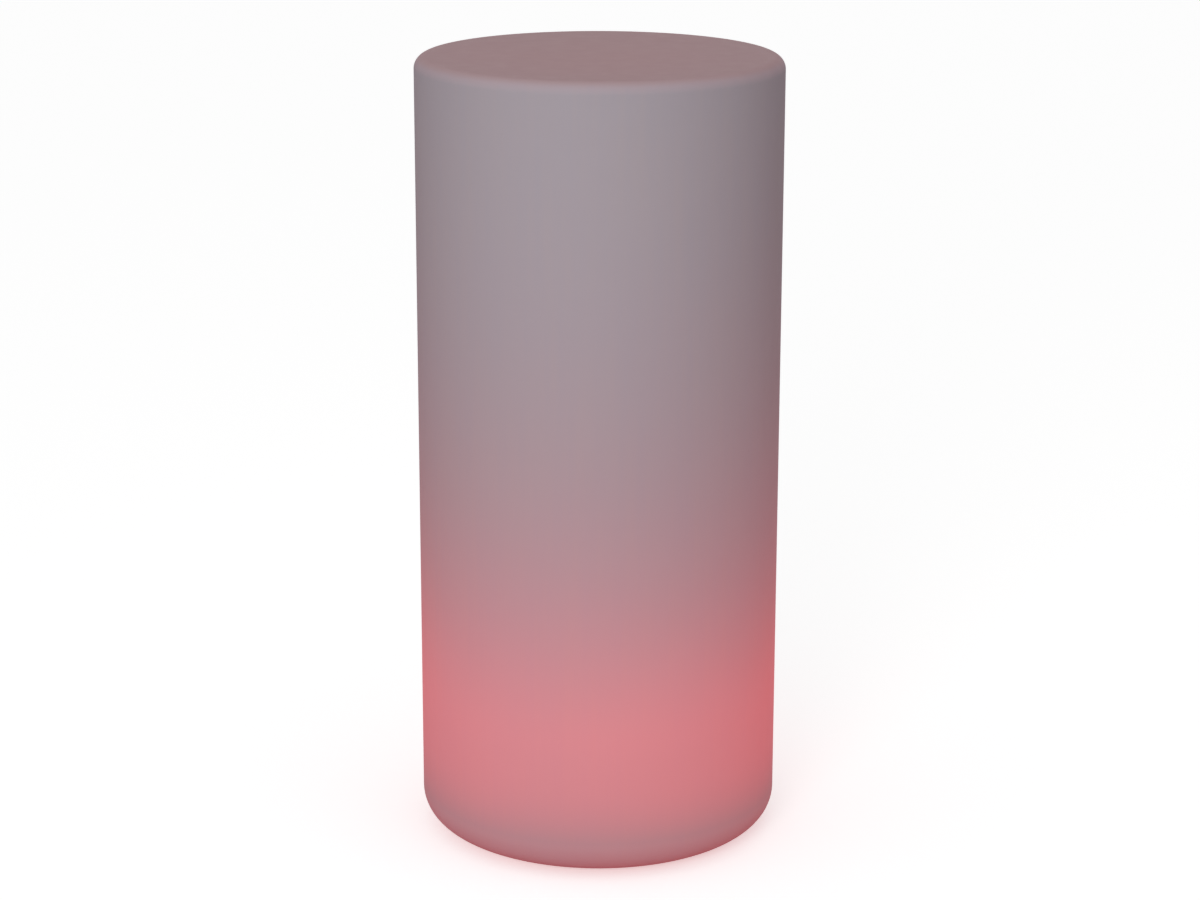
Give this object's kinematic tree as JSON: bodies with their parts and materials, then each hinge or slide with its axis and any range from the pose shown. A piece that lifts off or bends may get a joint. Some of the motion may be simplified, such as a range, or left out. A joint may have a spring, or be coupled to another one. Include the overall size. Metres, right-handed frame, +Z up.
{
  "type": "outdoor floor lamp",
  "caption": "Tall round translucent column that stands on the ground and glows from a sealed rechargeable coloured light unit in its base.",
  "frame": {"origin": "on the ground, under the centre of the column", "axes": "+Z up along the column's axis, front towards -Y, where the buttons and the charging socket lie under the base"},
  "size_m": [0.35, 0.3498, 0.765],
  "materials": {
    "column_plastic": "matte, finely textured translucent polyethylene",
    "housing_plastic": "spark-eroded black moulded plastic",
    "button_plastic": "satin grey moulded plastic",
    "flap_plastic": "soft black moulded plastic",
    "brass": "turned brass",
    "stainless": "stainless steel",
    "strap_steel": "zinc-plated strip",
    "nickel": "nickel strip",
    "black_rubber": "moulded black rubber",
    "silicone": "translucent grey silicone",
    "foam": "closed-cell foam",
    "cell_sleeve": "shrunk plastic sleeve",
    "green_board": "solder-masked glass-fibre board",
    "white_board": "white solder mask on aluminium",
    "chip_black": "black moulding compound",
    "can_aluminium": "drawn aluminium can",
    "ferrite": "ferrite",
    "connector_nylon": "natural nylon",
    "wire_red": "red wire insulation",
    "wire_black": "black wire insulation",
    "wire_white": "white wire insulation",
    "aluminium_plate": "rolled aluminium",
    "clear_plastic": "clear polycarbonate",
    "led_lit": "white package with a lit lens"
  },
  "bodies": {
    "lamp": {"column_shell": "column_plastic", "thread_inserts": "brass", "rubber_feet": "black_rubber", "unit_housing": "housing_plastic", "unit_gasket": "silicone", "unit_screws": "stainless", "unit_washers": "stainless", "bottom_cover": "housing_plastic", "cover_ring": "silicone", "cover_screws": "stainless", "battery_cells": "cell_sleeve", "battery_tabs": "nickel", "battery_board": "green_board", "battery_return_wire": "wire_black", "battery_lead": "wire_red", "battery_pad": "foam", "battery_strap": "strap_steel", "strap_screws": "stainless", "control_board": "green_board", "board_screws": "stainless", "control_chips": "chip_black", "transistors": "chip_black", "capacitors": "can_aluminium", "inductor": "ferrite", "board_connectors": "connector_nylon", "tact_switches": "chip_black", "indicator_led": "connector_nylon", "light_pipe": "clear_plastic", "charge_socket": "chip_black", "socket_pin": "brass", "socket_seal": "silicone", "socket_nut": "stainless", "socket_lead": "wire_red", "flap_pin": "stainless", "heat_spreader": "aluminium_plate", "led_board": "white_board", "leds": "led_lit", "led_connector": "connector_nylon", "led_lead": "wire_white", "lead_grommet": "black_rubber", "led_screws": "stainless", "clear_dome": "clear_plastic", "dome_gasket": "silicone", "dome_screws": "stainless"},
    "power_button": {"power_button": "button_plastic", "power_button_ring": "silicone"},
    "colour_button": {"colour_button": "button_plastic", "colour_button_ring": "silicone"},
    "port_flap": {"port_flap": "flap_plastic", "flap_seal": "silicone"}
  },
  "joints": [
    {"name": "power_button_press", "type": "slide", "parent": "lamp", "child": "power_button", "axis": [0, 0, 1], "range_m": [0, 0.001], "stiffness_N_per_m": 1200, "springref_m": -0.0002},
    {"name": "colour_button_press", "type": "slide", "parent": "lamp", "child": "colour_button", "axis": [0, 0, 1], "range_m": [0, 0.001], "stiffness_N_per_m": 1200, "springref_m": -0.0002},
    {"name": "port_flap_swing", "type": "hinge", "parent": "lamp", "child": "port_flap", "pos_m": [0.027, -0.0487, 0.0078], "axis": [-1, 0, 0], "range_deg": [0, 95]}
  ]
}
